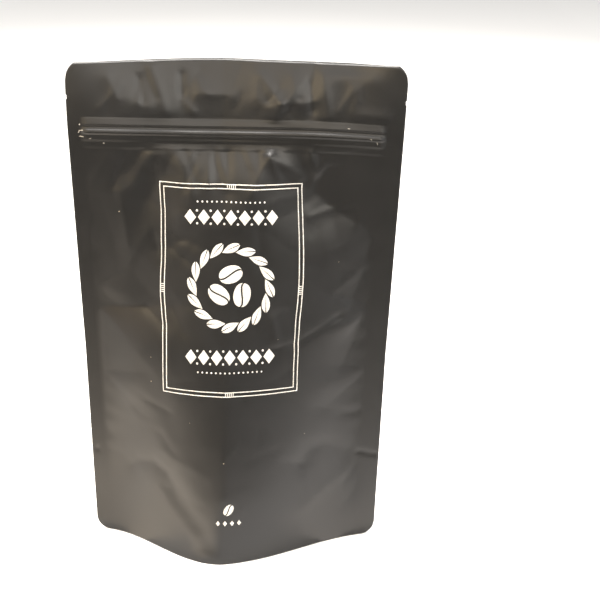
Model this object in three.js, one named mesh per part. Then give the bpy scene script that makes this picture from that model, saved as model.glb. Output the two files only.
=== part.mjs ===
// Stand-up coffee pouch of matte black laminated foil: filled, shut by its press-to-close zip,
// standing on its bottom gusset. One sealed piece, so one closed solid.
// Millimetres, +Z up, the printed front faces -Y. The origin is on the table, under the middle.
import * as THREE from 'three';

// ---- Driving dimensions -------------------------------------------------------------------------

// The cut outline, seen from the front
const FILM_HEIGHT = 240;        // at the side seams
const BASE_HALF_WIDTH = 71.3;   // half the width at the table, drawn in where the base bulges forwards
const FLARE_LOW = 0.027;        // half width gained for each mm of height, over the whole height
const FLARE_HIGH = 0.0136;      // and gained on top of that above the belly, where the pouch flattens
const FLARE_HIGH_FROM = 100;
const CREST_RISE = 1.4;         // the top edge stands this much higher over the crest
const CUT_SKEW = 0.6;           // and was cut a little askew: higher at the right, lower at the left
const TOP_CORNER_DROP = 8;      // the punched corner arc: its height on the seam
const TOP_CORNER_RUN = 4.4;     // and its width on the top edge
const BASE_CORNER_RADIUS = 7;
const NOTCH_HEIGHT = 224;       // tear notches in both seams
const NOTCH_DEPTH = 1.3;
const NOTCH_HALF_GAP = 1.2;

// The seams: two films welded face to face
const SEAM_THICKNESS = 0.5;
const LEFT_SEAM = 6;            // the print and seams sit left of the middle of the cut
const RIGHT_SEAM = 9;

// The filled body. The crest is the column where front and back stand furthest apart.
const CREST_X = -6;
// Half the depth at the crest, by height: the base, the gusset fold, the label's lower and
// middle parts, the slack film under the zip, and the zip
const HALF_DEPTH = [
  [0, 34.8], [40, 30.0], [85, 23.3], [120, 18.1], [160, 12.3],
  [184, 8.8], [193, 5.6], [201, 1.6], [205, 0.1],
];
// How far behind the seams the middle of the pouch stands at the crest, by height
const STANDS_BACK = [[60, 0], [120, 2.0], [160, 3.7], [184, 4.6], [206, 4.4], [215, 5.0]];
const FILL_LEVEL = 122;         // coffee holds the films apart up to here, and above it they go slack
const FILL_BLEND = 30;          // over this height on either side
const SEAM_SOFTNESS_LOW = 10;   // the films bend away from the weld over about this in the belly
const SEAM_SOFTNESS_HIGH = 4;   // and above it

// The zip, a pair of profiles under the film: its rib presses a ridge into the film, between two
// flanges. It hangs a little in the middle of the pouch.
const ZIP_HEIGHT = 208;
const ZIP_SAG = 1.0;
const ZIP_SAG_ZONE = [188, 200, 216, 226];  // the rows between the inner two sag with it
const ZIP_LEFT_END = -72.7;
const ZIP_RIGHT_END = 69.8;
const ZIP_END_FADE = 4;         // crushed flat by the seam over this length
// Heights over the ridge, and how proud the film is there
const ZIP_PROFILE = [
  [-7, 0], [-5.4, 0.5], [-3, 1.0], [-0.8, 1.1], [-0.2, 1.75], [0.9, 1.6], [3.2, 0.4], [6.8, 0],
];

// The gusset's fold meets both seams at this height
const GUSSET_FOLD_HEIGHT = 45;

// The base: a seal rim that stands on the table, and the gusset film inside it
const RIM_WIDTH = 0.8;
const RIM_HEIGHT = 3.2;
const GUSSET_BELLY = 1.2;       // the contents press the gusset down to this height
const GUSSET_FOLD = 3.6;        // its fold line runs along the middle, a little higher
const RECESS_STARTS = [4, 14];  // half depths of the base between which the recess grows to full

// Creases: the points along each, x and z, then its flanks on the left and right of that way, its
// depth (negative: a ridge) and the radius of its fold
const FRONT_CREASES = [
  [[[-52, 40], [-48, 43.5], [-40, 46], [-32.5, 42], [-29, 36]], 4, 9, 1.2, 1.3],
  [[[-25, 29], [-16, 18], [-12, 11]], 6, 10, 0.9, 3],
  [[[33, 47], [38, 53], [44, 54], [56, 48]], 6, 8, 0.8, 2.5],
  [[[36, 23], [47, 31], [58, 36]], 10, 6, -0.6, 2],
  [[[-29, 200], [-21, 178]], 6, 9, -0.8, 2.5],
  [[[17, 199], [5, 173]], 9, 6, -0.8, 2.5],
  [[[-40, 197], [-49, 182]], 4, 4, -0.8, 1.5],
  [[[-44, 200], [-52, 189]], 4, 4, 0.8, 1.5],
  [[[17, 198], [31, 188]], 3, 3, -1, 1.2],
  [[[-3, 98], [-3, 34]], 8, 10, -0.9, 2.5],
  [[[-45, 106], [-52, 78]], 7, 10, -0.5, 2.5],
  [[[-28, 64], [-44, 96]], 8, 8, 0.4, 3],
  [[[20, 110], [44, 84]], 14, 10, -0.5, 3],
];
const BACK_CREASES = [
  [[[-52, 46], [-38, 44], [-12, 16]], 9, 4, 1.4, 1.2],
  [[[52, 44], [38, 47], [24, 30], [12, 17]], 4, 9, -1.4, 1.5],
  [[[24, 198], [8, 176]], 6, 8, -1, 2],
  [[[-12, 197], [-30, 184]], 5, 8, -0.9, 2],
  [[[-2, 100], [-4, 40]], 12, 12, -0.8, 3],
];
// Puckers, where a seam buckles and the film rises from it as a blunt cone: x and z of the tip, the
// angle of the ridge, the angles from it to the valley above and to the film below, the rise for
// each mm from the tip, and the reach
const FRONT_PUCKERS = [
  [66.5, 161, 200, -53, 42, 0.14, 32],
  [65, 126, 208, -48, 40, 0.14, 28],
  [-67, 122.7, -45, 51, -45, 0.17, 40],
  [-67, 133, -8, 38, -35, 0.14, 14],
  [68, 92, 196, -24, 22, 0.06, 24],
  [-66, 88, -18, 30, -24, 0.07, 22],
];
const BACK_PUCKERS = [
  [-67, 164, -20, 53, -42, 0.14, 30],
  [-67, 121, -28, 48, -40, 0.14, 30],
  [66, 119, 212, -50, 42, 0.14, 30],
  [66, 152, 196, -30, 26, 0.10, 24],
];
// Hollows where the film hangs slack under the zip, steep above and long below: x, z, half width,
// height above and below the middle, depth
const FRONT_HOLLOWS = [[37, 184, 19, 11, 30, 4.2], [-39, 186, 12, 10, 26, 2.8]];
const BACK_HOLLOWS = [[-44, 184, 19, 11, 30, 3.6]];
// Waves of the header, where both films move together, in the form of creases
const HEADER_WAVES = [
  [[[-48, 222], [-41, 220]], 6, 5, -0.8, 2],
  [[[-18, 226], [-4, 225]], 6, 5, -0.9, 2],
  [[[14, 221], [24, 222], [36, 224]], 9, 5, -1.2, 2],
  [[[46, 234], [62, 234]], 5, 9, -1, 2],
];
const HEADER_CURL = 8.6;        // the free edge curls backwards by this in the middle
const HEADER_CURL_FROM = 209;
const CURL_AT_LEFT = 0.65;      // and by these shares of it at the two seams
const CURL_AT_RIGHT = 0.35;

// The mesh
const COLUMN_STEP = 4.8;
const LEVEL_STEP = 5.0;
const FOOT_ZONE = 12;           // below this height the rows of points follow the rounded base
const HEAD_ZONE = 228;          // and above this one the top edge

// ---- The outline --------------------------------------------------------------------------------

function smooth(value, from, to) {
  const t = THREE.MathUtils.clamp((value - from) / (to - from), 0, 1);
  return t * t * (3 - 2 * t);
}

// A smooth curve through [position, value] pairs, flat beyond both ends
function through(pairs, at) {
  const last = pairs.length - 1;
  if (at <= pairs[0][0]) return pairs[0][1];
  if (at >= pairs[last][0]) return pairs[last][1];
  const i = pairs.findIndex((pair) => pair[0] > at) - 1;
  const slope = (k) => {
    const before = pairs[Math.max(0, k - 1)];
    const after = pairs[Math.min(last, k + 1)];
    return (after[1] - before[1]) / (after[0] - before[0]);
  };
  const span = pairs[i + 1][0] - pairs[i][0];
  const t = (at - pairs[i][0]) / span;
  const rise = smooth(t, 0, 1);
  return (1 - rise) * pairs[i][1] + rise * pairs[i + 1][1]
    + span * t * (1 - t) * ((1 - t) * slope(i) - t * slope(i + 1));
}

function halfWidth(z) {
  return BASE_HALF_WIDTH + FLARE_LOW * z + FLARE_HIGH * Math.max(0, z - FLARE_HIGH_FROM);
}

const TOP_HALF_WIDTH = halfWidth(FILM_HEIGHT - TOP_CORNER_DROP);
// The arc leaves the seam upright and meets the top edge at an angle
const TOP_CORNER_RADIUS = (TOP_CORNER_RUN ** 2 + TOP_CORNER_DROP ** 2) / (2 * TOP_CORNER_RUN);

// u is the place across the pouch: -1 and 1 are the cut edges
function topEdge(u) {
  const run = Math.abs(u) * TOP_HALF_WIDTH - (TOP_HALF_WIDTH - TOP_CORNER_RUN);
  if (run <= 0) return FILM_HEIGHT + CREST_RISE * bow(u) + CUT_SKEW * u;
  const along = TOP_CORNER_RADIUS - TOP_CORNER_RUN + run;
  const arc = Math.sqrt(Math.max(0, TOP_CORNER_RADIUS ** 2 - along ** 2));
  return FILM_HEIGHT - TOP_CORNER_DROP + arc + CUT_SKEW * u;
}

function bottomEdge(u) {
  const run = Math.max(0, Math.abs(u) * BASE_HALF_WIDTH - (BASE_HALF_WIDTH - BASE_CORNER_RADIUS));
  return BASE_CORNER_RADIUS - Math.sqrt(Math.max(0, BASE_CORNER_RADIUS ** 2 - run ** 2));
}

// The height of a row of points in one column, and the x there
function heightAt(u, level) {
  if (level < FOOT_ZONE) {
    return THREE.MathUtils.lerp(bottomEdge(u), FOOT_ZONE, level / FOOT_ZONE);
  }
  if (level > HEAD_ZONE) {
    return THREE.MathUtils.lerp(HEAD_ZONE, topEdge(u), (level - HEAD_ZONE) / (FILM_HEIGHT - HEAD_ZONE));
  }
  const [low, sagsFrom, sagsTo, high] = ZIP_SAG_ZONE;
  return level - ZIP_SAG * bow(u) * smooth(level, low, sagsFrom) * smooth(-level, -high, -sagsTo);
}

function sideways(u, z) {
  const notch = Math.abs(u) === 1 ? Math.max(0, 1 - Math.abs(z - NOTCH_HEIGHT) / NOTCH_HALF_GAP) : 0;
  return u * halfWidth(z) - Math.sign(u) * notch * NOTCH_DEPTH;
}

// ---- The two films ------------------------------------------------------------------------------

const MID_HALF_WIDTH = halfWidth(FILM_HEIGHT / 2);
const CREST_U = CREST_X / MID_HALF_WIDTH;
const LEFT_SEAM_U = -1 + LEFT_SEAM / MID_HALF_WIDTH;
const RIGHT_SEAM_U = 1 - RIGHT_SEAM / MID_HALF_WIDTH;

// 0 at the crest, 1 at the given edge on either side
function fromCrest(u, leftEdge, rightEdge) {
  const edge = u < CREST_U ? leftEdge : rightEdge;
  return THREE.MathUtils.clamp((u - CREST_U) / (edge - CREST_U), 0, 1);
}

// How the backwards bow of the middle spreads: round at the left, straighter at the right
function bow(u) {
  const t = fromCrest(u, -1, 1);
  return u < CREST_U ? Math.cos(Math.PI * t / 2) ** 2 : (1 - t) ** 1.3;
}

// How the depth spreads from the crest: pointed at the base, where the two halves of the gusset
// part the seams right out to the cut edge. Above it the depth ends at the seams' inner edges, and
// it is full as far as the coffee reaches.
function fullness(u, z) {
  const round = (t) => Math.cos(Math.PI * t / 2) ** 2;
  const t = fromCrest(u, -1, 1);
  const base = u < CREST_U ? round(t) : 0.66 * round(t) + 0.34 * (1 - t);
  const s = fromCrest(u, LEFT_SEAM_U, RIGHT_SEAM_U);
  const arched = THREE.MathUtils.lerp(0.5, 0.3, smooth(z, FILL_LEVEL - FILL_BLEND, FILL_LEVEL + FILL_BLEND));
  const softness = THREE.MathUtils.lerp(SEAM_SOFTNESS_LOW, SEAM_SOFTNESS_HIGH, smooth(z, 70, 150));
  const reach = (u < CREST_U ? CREST_U - LEFT_SEAM_U : RIGHT_SEAM_U - CREST_U) * MID_HALF_WIDTH;
  const body = THREE.MathUtils.lerp(round(s), 1 - s * s, arched) * (1 - Math.exp((s - 1) * reach / softness));
  return THREE.MathUtils.lerp(base, body, smooth(z, 0, GUSSET_FOLD_HEIGHT));
}

// Straight lines through [position, value] pairs
function alongLines(pairs, at) {
  const last = pairs.length - 1;
  if (at <= pairs[0][0]) return pairs[0][1];
  if (at >= pairs[last][0]) return pairs[last][1];
  const i = pairs.findIndex((pair) => pair[0] > at) - 1;
  return THREE.MathUtils.mapLinear(at, pairs[i][0], pairs[i + 1][0], pairs[i][1], pairs[i + 1][1]);
}

function zipRelief(x, level) {
  const ends = smooth(x, ZIP_LEFT_END, ZIP_LEFT_END + ZIP_END_FADE)
    * smooth(-x, -ZIP_RIGHT_END, -ZIP_RIGHT_END + ZIP_END_FADE);
  return ends * alongLines(ZIP_PROFILE, level - ZIP_HEIGHT);
}

// A crease is deepest along its line and fades on both sides and at both ends
function creaseDepth([points, leftFlank, rightFlank, depth, radius], x, z) {
  let gap = Infinity;
  let offside = 0;
  for (let i = 0; i < points.length - 1; i++) {
    const [[x1, z1], [x2, z2]] = [points[i], points[i + 1]];
    const length = Math.hypot(x2 - x1, z2 - z1);
    const along = ((x - x1) * (x2 - x1) + (z - z1) * (z2 - z1)) / length ** 2;
    const nearest = THREE.MathUtils.clamp(along, 0, 1);
    const away = Math.hypot(x - x1 - nearest * (x2 - x1), z - z1 - nearest * (z2 - z1));
    if (away < gap) {
      gap = away;
      offside = ((z - z1) * (x2 - x1) - (x - x1) * (z2 - z1)) / length / Math.max(away, 0.01);
    }
  }
  const flank = THREE.MathUtils.lerp(rightFlank, leftFlank, smooth(offside, -1, 1));
  return depth * Math.exp(-(Math.hypot(gap, radius) - radius) / (0.7 * flank));
}

function puckerRise([tipX, tipZ, ridge, above, below, rise, reach], x, z) {
  const away = Math.hypot(x - tipX, z - tipZ);
  const heading = THREE.MathUtils.radToDeg(Math.atan2(z - tipZ, x - tipX));
  const turn = THREE.MathUtils.euclideanModulo(heading - ridge + 180, 360) - 180;
  const share = THREE.MathUtils.clamp(1 - turn / (turn * above > 0 ? above : below), 0, 1);
  const bluntTip = Math.hypot(away, 2) - 2;
  return rise * bluntTip * share * (1.6 - 0.6 * share) * Math.exp(-((away / reach) ** 2));
}

function hollowDepth([middleX, middleZ, reachX, above, below, depth], x, z) {
  const reachZ = z > middleZ ? above : below;
  return depth * Math.exp(-(((x - middleX) / reachX) ** 2) - ((z - middleZ) / reachZ) ** 2);
}

const FORMS = {
  front: { creases: FRONT_CREASES, puckers: FRONT_PUCKERS, hollows: FRONT_HOLLOWS },
  back: { creases: BACK_CREASES, puckers: BACK_PUCKERS, hollows: BACK_HOLLOWS },
};

function total(list, form, x, z) {
  return list.reduce((sum, item) => sum + form(item, x, z), 0);
}

// Half the thickness of the pouch at a point of the front (side -1) or back (side 1) film
function halfThickness(side, u, level, x, z) {
  const { creases, puckers, hollows } = side < 0 ? FORMS.front : FORMS.back;
  const dents = total(creases, creaseDepth, x, z) + total(hollows, hollowDepth, x, z)
    - total(puckers, puckerRise, x, z);
  const fromSeam = Math.min(u - LEFT_SEAM_U, RIGHT_SEAM_U - u);
  const loose = smooth(fromSeam, 0, 0.06) * smooth(z, 1, 8) * smooth(-z, -203, -199);
  const body = through(HALF_DEPTH, z) * fullness(u, z) - dents * loose;
  return SEAM_THICKNESS / 2 + zipRelief(x, level) + Math.max(0, body);
}

function filmPoint(side, u, level) {
  const z = heightAt(u, level);
  const x = sideways(u, z);
  const fromEdge = 1 - Math.abs(u);
  const wave = total(HEADER_WAVES, creaseDepth, x, z) * smooth(z, 210, 217) * smooth(fromEdge, 0, 0.15);
  const curlAtSeam = u < CREST_U ? CURL_AT_LEFT : CURL_AT_RIGHT;
  const curl = HEADER_CURL * (Math.max(0, z - HEADER_CURL_FROM) / (FILM_HEIGHT - HEADER_CURL_FROM)) ** 1.5
    * THREE.MathUtils.lerp(curlAtSeam, 1, smooth(fromEdge, 0, 0.4));
  const middle = through(STANDS_BACK, z) * bow(u) + wave + curl;
  return [x, middle + side * halfThickness(side, u, level, x, z), z];
}

// ---- The base -----------------------------------------------------------------------------------

// Points across the base of one column, from just inside the front rim to just inside the back one
const ACROSS_GUSSET = [0.85, 0.6, 0.35, 0.15];

function basePoints(front, back) {
  const x = front[0];
  const middle = (front[1] + back[1]) / 2;
  const halfDepth = (back[1] - front[1]) / 2;
  const recess = smooth(halfDepth, RECESS_STARTS[0], RECESS_STARTS[1]);
  const rim = Math.min(RIM_WIDTH, halfDepth / 4);
  const inner = halfDepth - rim - rim / 2;
  const half = [[halfDepth - rim, 0], [inner, RIM_HEIGHT]];
  for (const place of ACROSS_GUSSET) {
    const belly = Math.sin(Math.PI * place) ** 2;
    const taut = THREE.MathUtils.lerp(GUSSET_FOLD, RIM_HEIGHT, place);
    half.push([inner * place, THREE.MathUtils.lerp(taut, GUSSET_BELLY, belly)]);
  }
  const points = half.map(([y, z]) => [x, middle - y, z * recess]);
  points.push([x, middle, GUSSET_FOLD * recess]);
  for (const [y, z] of half.reverse()) points.push([x, middle + y, z * recess]);
  return points;
}

// ---- The mesh -----------------------------------------------------------------------------------

function evenSteps(from, to, step) {
  const count = Math.max(1, Math.round((to - from) / step));
  return Array.from({ length: count }, (_, i) => THREE.MathUtils.lerp(from, to, i / count));
}

function columns() {
  const step = COLUMN_STEP / MID_HALF_WIDTH;
  const corner = 1 - TOP_CORNER_RUN / TOP_HALF_WIDTH;
  return [
    -1, -(1 + corner) / 2, -corner,
    ...evenSteps(LEFT_SEAM_U, CREST_U, step),
    ...evenSteps(CREST_U, RIGHT_SEAM_U, step),
    RIGHT_SEAM_U, (RIGHT_SEAM_U + corner) / 2, corner, (1 + corner) / 2, 1,
  ];
}

function levels() {
  const zip = ZIP_PROFILE.map(([overRidge]) => ZIP_HEIGHT + overRidge);
  const notch = [-1, 0, 1].map((place) => NOTCH_HEIGHT + place * NOTCH_HALF_GAP);
  return [
    ...evenSteps(0, FOOT_ZONE, 4), ...evenSteps(FOOT_ZONE, zip[0], LEVEL_STEP),
    ...zip, (zip.at(-1) + notch[0]) / 2, ...notch,
    ...evenSteps(HEAD_ZONE, FILM_HEIGHT, 4), FILM_HEIGHT,
  ];
}

function pouchGeometry() {
  const positions = [];
  const triangles = [];
  const addPoint = (point) => positions.push(...point) / 3 - 1;
  const addQuad = (a, b, c, d) => triangles.push(a, b, c, a, c, d);

  const us = columns();
  const rows = levels();
  const grid = (side) => us.map((u) => rows.map((level) => filmPoint(side, u, level)));
  const frontPoints = grid(-1);
  const backPoints = grid(1);
  const front = frontPoints.map((column) => column.map(addPoint));
  const back = backPoints.map((column) => column.map(addPoint));
  const lastColumn = us.length - 1;
  const lastRow = rows.length - 1;

  // Front and back films
  for (let i = 0; i < lastColumn; i++) {
    for (let k = 0; k < lastRow; k++) {
      addQuad(front[i][k], front[i + 1][k], front[i + 1][k + 1], front[i][k + 1]);
      addQuad(back[i + 1][k], back[i][k], back[i][k + 1], back[i + 1][k + 1]);
    }
    addQuad(front[i][lastRow], front[i + 1][lastRow], back[i + 1][lastRow], back[i][lastRow]);
  }
  // Cut edges of the two side seams
  for (let k = 0; k < lastRow; k++) {
    addQuad(front[0][k], front[0][k + 1], back[0][k + 1], back[0][k]);
    addQuad(back[lastColumn][k], back[lastColumn][k + 1], front[lastColumn][k + 1], front[lastColumn][k]);
  }
  // The base: a plain strip under the seams, and rim and gusset where the pouch has depth
  const narrowest = 2.5;
  const section = us.map((u, i) => {
    if (backPoints[i][0][1] - frontPoints[i][0][1] < 2 * narrowest) return null;
    return [front[i][0], ...basePoints(frontPoints[i][0], backPoints[i][0]).map(addPoint), back[i][0]];
  });
  for (let i = 0; i < lastColumn; i++) {
    const here = section[i];
    const next = section[i + 1];
    if (!here && !next) {
      addQuad(front[i][0], back[i][0], back[i + 1][0], front[i + 1][0]);
    } else if (here && next) {
      for (let j = 0; j < here.length - 1; j++) addQuad(here[j], here[j + 1], next[j + 1], next[j]);
    } else {
      // A fan joins the last full section to the two points of the seam next to it
      const fan = here || next;
      const end = here ? i + 1 : i;
      const middle = (fan.length - 1) / 2;
      for (let j = 0; j < fan.length - 1; j++) {
        const tip = j < middle ? front[end][0] : back[end][0];
        triangles.push(...(here ? [tip, fan[j], fan[j + 1]] : [tip, fan[j + 1], fan[j]]));
      }
      triangles.push(...(here ? [front[end][0], fan[middle], back[end][0]]
        : [front[end][0], back[end][0], fan[middle]]));
    }
  }

  const geometry = new THREE.BufferGeometry();
  geometry.setAttribute('position', new THREE.Float32BufferAttribute(positions, 3));
  geometry.setIndex(triangles);
  geometry.computeVertexNormals();
  return geometry;
}

// ---- The pouch ----------------------------------------------------------------------------------

function pouch() {
  const matteFilm = new THREE.MeshStandardMaterial({ color: 0x2b2b2a, roughness: 0.55, metalness: 0 });
  const mesh = new THREE.Mesh(pouchGeometry(), matteFilm);
  mesh.name = 'pouch';
  return mesh;
}

const group = new THREE.Group();
group.add(pouch());
export default group;
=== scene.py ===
"""A filled stand-up coffee pouch of matte black laminated foil, standing on a pale table."""
import math
import random

import bmesh
import bpy
import numpy as np
from mathutils import Matrix, Vector


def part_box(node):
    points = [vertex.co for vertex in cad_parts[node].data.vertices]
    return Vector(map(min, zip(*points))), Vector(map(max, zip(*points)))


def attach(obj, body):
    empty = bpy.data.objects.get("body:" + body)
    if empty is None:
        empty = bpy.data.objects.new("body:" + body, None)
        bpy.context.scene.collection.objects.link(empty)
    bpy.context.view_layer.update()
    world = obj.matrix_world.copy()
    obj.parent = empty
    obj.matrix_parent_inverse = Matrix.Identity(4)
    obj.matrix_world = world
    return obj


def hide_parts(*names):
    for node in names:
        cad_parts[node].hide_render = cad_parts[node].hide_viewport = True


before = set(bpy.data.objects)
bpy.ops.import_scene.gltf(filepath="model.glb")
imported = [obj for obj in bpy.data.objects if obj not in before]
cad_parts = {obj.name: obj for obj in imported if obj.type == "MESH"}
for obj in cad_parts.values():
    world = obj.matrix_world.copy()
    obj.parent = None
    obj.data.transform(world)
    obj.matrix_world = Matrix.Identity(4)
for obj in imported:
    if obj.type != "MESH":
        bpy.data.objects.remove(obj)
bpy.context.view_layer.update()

# ---- The view -----------------------------------------------------------------------------------
# The pouch is seen from a little above its top edge, about 0.6 m away, with a lens of 78 mm on a
# 36 mm sensor. Lengths are written in millimetres, and MM turns them into metres.
MM = 0.001
CAMERA_PLACE = Vector((32.1, -596.8, 336.4)) * MM
CAMERA_DOWN = math.radians(19.33)
CAMERA_TURN = math.radians(0.08)
CAMERA_ROLL = math.radians(1.03)


def new_object(name, data):
    made = bpy.data.objects.new(name, data)
    bpy.context.collection.objects.link(made)
    return made


camera_data = bpy.data.cameras.new("camera")
camera_data.lens = 78
camera_data.sensor_width = 36
camera = new_object("camera", camera_data)
aim = Matrix.Rotation(CAMERA_TURN, 4, "Z") @ Matrix.Rotation(math.pi / 2 - CAMERA_DOWN, 4, "X")
camera.matrix_world = Matrix.Translation(CAMERA_PLACE) @ aim @ Matrix.Rotation(CAMERA_ROLL, 4, "Z")
bpy.context.scene.camera = camera

# ---- The front and back panels ------------------------------------------------------------------
# Two sheets cut from one web: matte polypropylene over black ink, aluminium foil and a
# polyethylene sealing layer. They are welded face to face along both side seams, and the coffee
# between them pushes them apart. All the creases of a filled and handled pouch are in the mesh.
FILM = 0.14                         # thickness of one sheet
LAMINATE_GAP = 0.02                 # left between the two sheets in a seam
BASE_INSET = 0.25                   # keeps the outer face of the film just inside the solid
box_low, box_high = (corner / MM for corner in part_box("pouch"))
BASE_HALF_DEPTH = (box_high.y - box_low.y) / 2 - BASE_INSET
FILM_HEIGHT = 240                   # at the side seams
BASE_HALF_WIDTH = 71.3
FLARE_LOW = 0.027                   # half width gained per mm of height
FLARE_HIGH = 0.0136                 # gained on top of that above the belly
FLARE_HIGH_FROM = 100
CREST_RISE = 1.4                    # of the top edge, over its ends
CUT_SKEW = 0.6                      # the top was cut this much off level, from the middle to an end
TOP_CORNER_DROP = 8
TOP_CORNER_RUN = 4.4
BASE_CORNER_RADIUS = 7
NOTCH_HEIGHT, NOTCH_DEPTH, NOTCH_HALF_GAP = 224, 1.3, 1.2
FOOT_ZONE, HEAD_ZONE = 12, 228      # the rows below and above these bend with the cut edges
LEFT_SEAM, RIGHT_SEAM = 6, 9        # width of the welds
CREST_X = -6                        # where the films are furthest apart
CREST_TO_RIGHT = 1.3                # power of the top edge's fall to the right of its crest
STRAIGHT_TO_RIGHT = 0.34            # straight share of the base's curve to the right of its crest
GUSSET_FOLD_HEIGHT = 45
FILL_LEVEL, FILL_BLEND = 122, 30
ARCHED_LOW, ARCHED_HIGH = 0.5, 0.3  # arched share of the film's section, below and above that level
# Half the depth between the two films at the crest, and how far back their middle stands, by height
HALF_DEPTH = [(0, BASE_HALF_DEPTH), (40, 30.0), (85, 23.3), (120, 18.1), (160, 12.3), (184, 8.8),
              (193, 5.6), (201, 1.6), (205, 0.1)]
STANDS_BACK = [(60, 0), (120, 2.0), (160, 3.7), (184, 4.6), (206, 4.4), (215, 5.0)]

# The zip under the film, from its left to its right end. Its rib and its two beaded flanges each
# press a relief into the film: heights over the rib's middle, and how proud the film is there. The
# flanges press it out less firmly in some places than in others.
ZIP_HEIGHT, ZIP_SAG = 208.0, 1.0
ZIP_DROOP = [(-60, 0), (30, 0), (50, 0.5), (70, 1.5)]   # at its right end it was pressed in askew
ZIP_SAG_ZONE = (188, 200, 216, 226)     # the rows between the inner two sag with it
ZIP_ENDS, ZIP_END_RUNS = (-72.7, 69.8), (3, 1.5)        # the relief grows to full over each run
ZIP_OVER_SEAM, ZIP_SEAM_ZONE = 0.45, (-0.05, 0.03)      # share of the relief left in a weld
ZIP_RIB = [(-0.8, 0), (-0.3, 0.65), (0.3, 0.7), (1.2, 0.5), (1.9, 0.1), (2.6, 0)]
ZIP_FLANGES = [(-7.8, 0), (-6.6, 0.28), (-4.3, 0.38), (-3.1, 0.85), (-0.8, 1.05), (0.9, 1.05),
               (1.9, 0.7), (2.6, 0.45), (3.1, 0.4), (3.8, 1.0), (6.5, 0.25), (7.1, 0)]
ZIP_FIRMNESS, ZIP_UNEVENNESS, ZIP_UNEVEN_OVER = 0.8, 0.2, (7, 19)

# A crease: the points along it, its flanks on the left and right of that way, its depth (negative:
# a ridge) and the radius of the fold
FLANK_FALL = 0.7                    # the depth falls to about a third over this share of a flank
FRONT_CREASES = [
    (((-52, 40), (-48, 43.5), (-40, 46), (-32.5, 42), (-29, 36)), 4, 9, 1.2, 1.3),
    (((-25, 29), (-16, 18), (-12, 11)), 6, 10, 0.9, 3.0),
    (((-37, 33), (-30, 22), (-20, 13)), 5, 5, -0.5, 2.0),
    (((33, 47), (38, 53), (44, 54), (56, 48)), 6, 8, 0.8, 2.5),
    (((62, 40), (56, 32)), 3, 3, 0.4, 0.5),
    (((36, 23), (47, 31), (58, 36)), 10, 6, -0.6, 2.0),
    (((-29, 200), (-21, 178)), 6, 9, -0.8, 2.5),
    (((17, 199), (5, 173)), 9, 6, -0.8, 2.5),
    (((-40, 197), (-49, 182)), 4, 4, -0.8, 1.5),
    (((-44, 200), (-52, 189)), 4, 4, 0.8, 1.5),
    (((17, 198), (31, 188)), 3, 3, -1.0, 1.2),
    (((35, 200), (37, 191)), 2.5, 2.5, -0.8, 1.0),
    (((-8, 200), (-4, 185)), 3, 3, -0.4, 2.0),
    (((-3, 98), (-3, 34)), 8, 10, -0.9, 2.5),
    (((-45, 106), (-52, 78)), 7, 10, -0.5, 2.5),
    (((-28, 64), (-44, 96)), 8, 8, 0.4, 3.0),
    (((20, 110), (44, 84)), 14, 10, -0.5, 3.0),
]
# Puckers run from a tip on a seam into the film: tip x, z, angle of the ridge, angles from it to
# the valley above and to the film below, rise for each mm from the tip, and reach
PUCKER_TIP, PUCKER_ROUNDNESS = 2, 0.6       # the tip is blunt over this, and the ridge rounded
FRONT_PUCKERS = [
    (66.5, 161, 200, -53, 54, 0.19, 34),
    (65, 126, 208, -48, 40, 0.16, 28),
    (62, 119.5, 205, -24, 30, 0.14, 12),
    (-67, 122.7, -45, 51, -45, 0.25, 40),
    (-67, 133, -8, 38, -35, 0.14, 14),
    (68, 92, 196, -24, 22, 0.06, 24),
    (-66, 88, -18, 30, -24, 0.07, 22),
]
# Hollows where the film hangs slack under the zip, steep above and long below: x, z, half width,
# height above and below the middle, depth
FRONT_HOLLOWS = [(37, 184, 19, 11, 30, 4.2), (-39, 186, 12, 10, 26, 2.8)]
BACK_CREASES = [
    (((-54, 43), (-46, 46), (-38, 44), (-28, 35), (-12, 16)), 9, 5, 1.1, 2.0),
    (((54, 41), (46, 46), (38, 46), (31, 39), (24, 29), (12, 17)), 5, 9, -1.1, 2.5),
    (((24, 198), (8, 176)), 6, 8, -1.0, 2.0),
    (((-12, 197), (-30, 184)), 5, 8, -0.9, 2.0),
    (((38, 200), (46, 186)), 4, 5, -0.7, 1.5),
    (((-2, 100), (-4, 40)), 12, 12, -0.8, 3.0),
]
BACK_PUCKERS = [
    (-67, 164, -20, 53, -42, 0.14, 30),
    (-67, 121, -28, 48, -40, 0.14, 30),
    (66, 119, 212, -50, 42, 0.14, 30),
    (66, 152, 196, -30, 26, 0.10, 24),
    (67, 92, 190, -24, 18, 0.06, 24),
]
BACK_HOLLOWS = [(-44, 184, 19, 11, 30, 3.6)]
# Waves of the header, where both sheets move together. They grow to full over the zone, and in from
# the cut edges over a share of the half width, low down and further up.
HEADER_WAVES = [
    (((-48, 222), (-41, 220)), 6, 5, -0.8, 2.0),
    (((-40, 237), (-33, 218)), 3.5, 3.5, -0.6, 1.5),
    (((-18, 226), (-4, 225)), 6, 5, -0.9, 2.0),
    (((14, 221), (24, 222), (36, 224)), 9, 5, -1.2, 2.0),
    (((40, 236), (43, 217)), 3, 3, -0.6, 1.5),
    (((46, 234), (62, 234)), 5, 9, -1.0, 2.0),
    (((58, 218), (70, 217)), 4, 4, -0.6, 1.5),
]
HEADER_ZONE = (212, 217)
WAVE_FADE_LOW, WAVE_FADE_HIGH, WAVE_FADE_ZONE = 0.03, 0.15, (60, 200)
# The header's free edge curls back, by these shares at its two ends
HEADER_CURL, HEADER_CURL_FROM, HEADER_CURL_POWER = 8.6, 209, 1.5
CURL_AT_LEFT, CURL_AT_RIGHT, CURL_FADE = 0.65, 0.35, 0.4
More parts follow.
